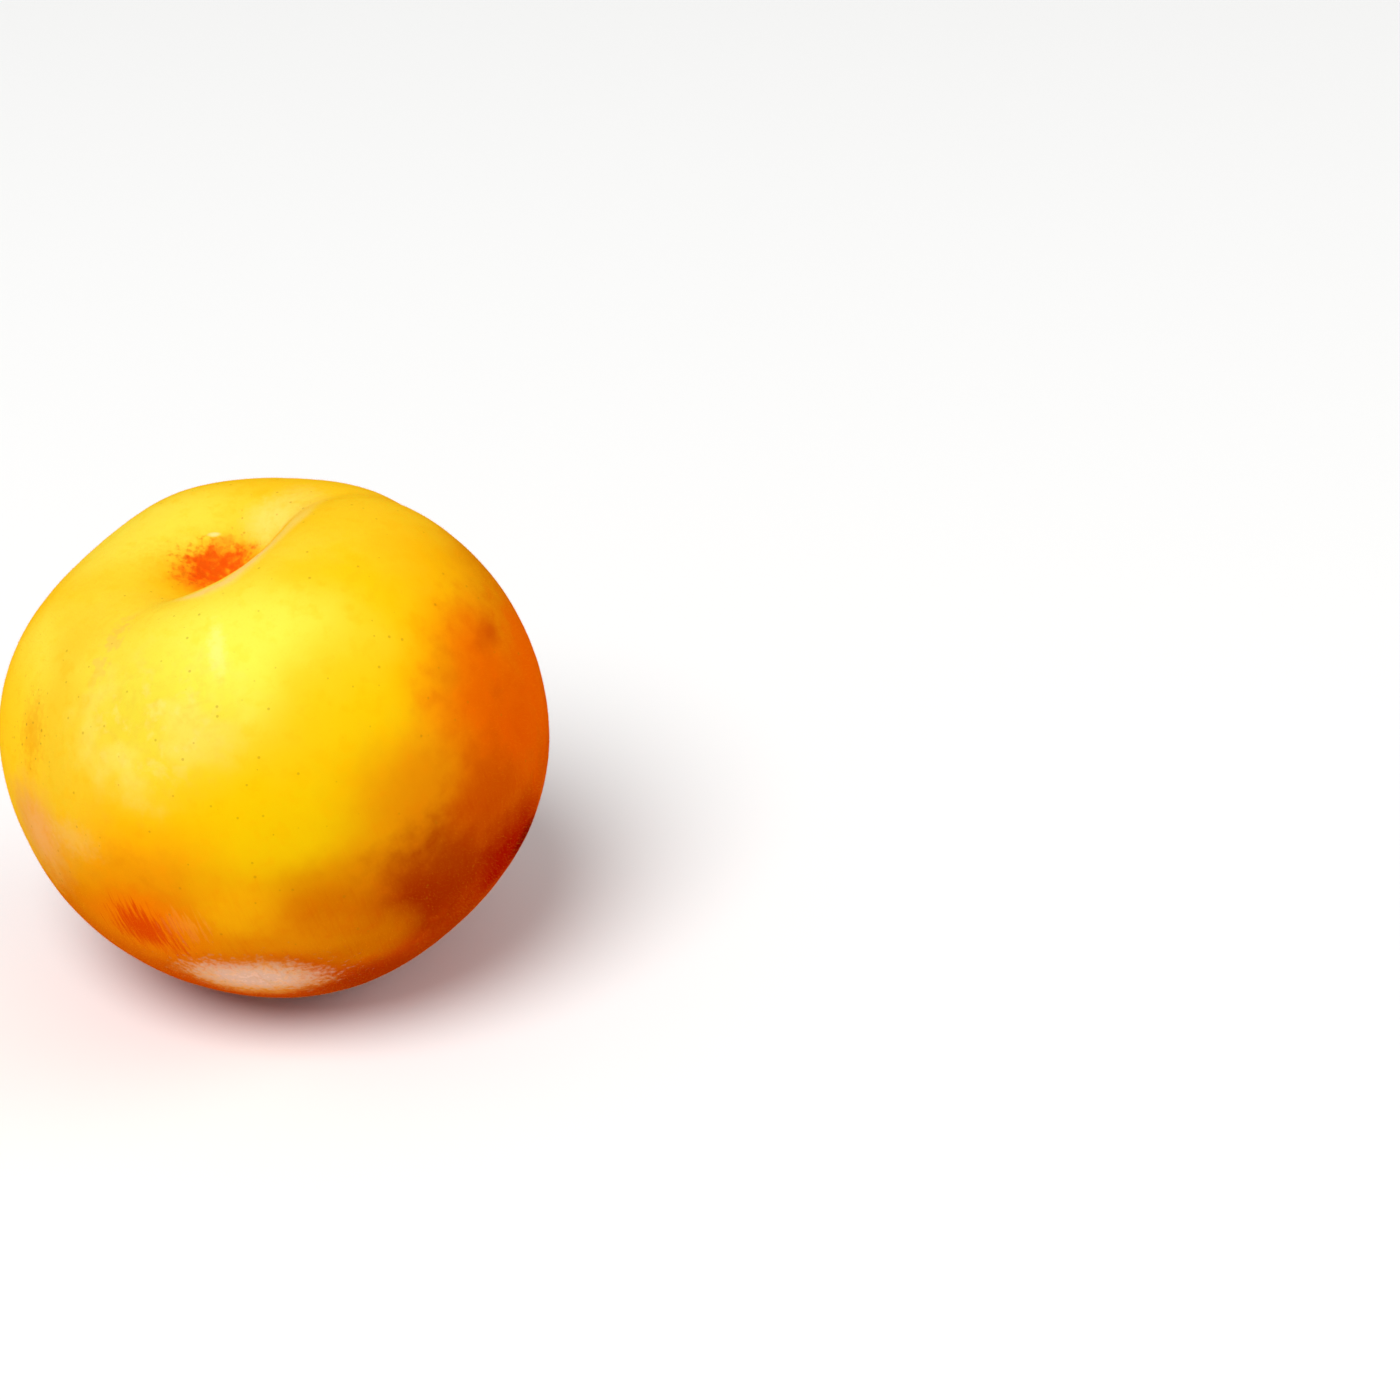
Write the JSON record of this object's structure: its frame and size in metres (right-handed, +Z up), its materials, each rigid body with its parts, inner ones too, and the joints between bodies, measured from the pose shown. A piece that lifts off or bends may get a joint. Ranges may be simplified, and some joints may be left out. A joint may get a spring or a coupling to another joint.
{
  "type": "peach",
  "caption": "Whole ripe peach with a stem cavity, a suture furrow and a small blossom point, lying on a small flat spot.",
  "frame": {"origin": "middle of the small flat spot that the fruit rests on", "axes": "+Z up as the fruit rests, -Y towards the viewer of the picture, +X to its right; the stem end leans about 16 degrees towards -X and the suture's deep side points between +X and +Y"},
  "size_m": [0.0749, 0.0745, 0.0674],
  "materials": {
    "skin": "matte"
  },
  "bodies": {
    "root": {"peach": "skin"}
  },
  "joints": []
}
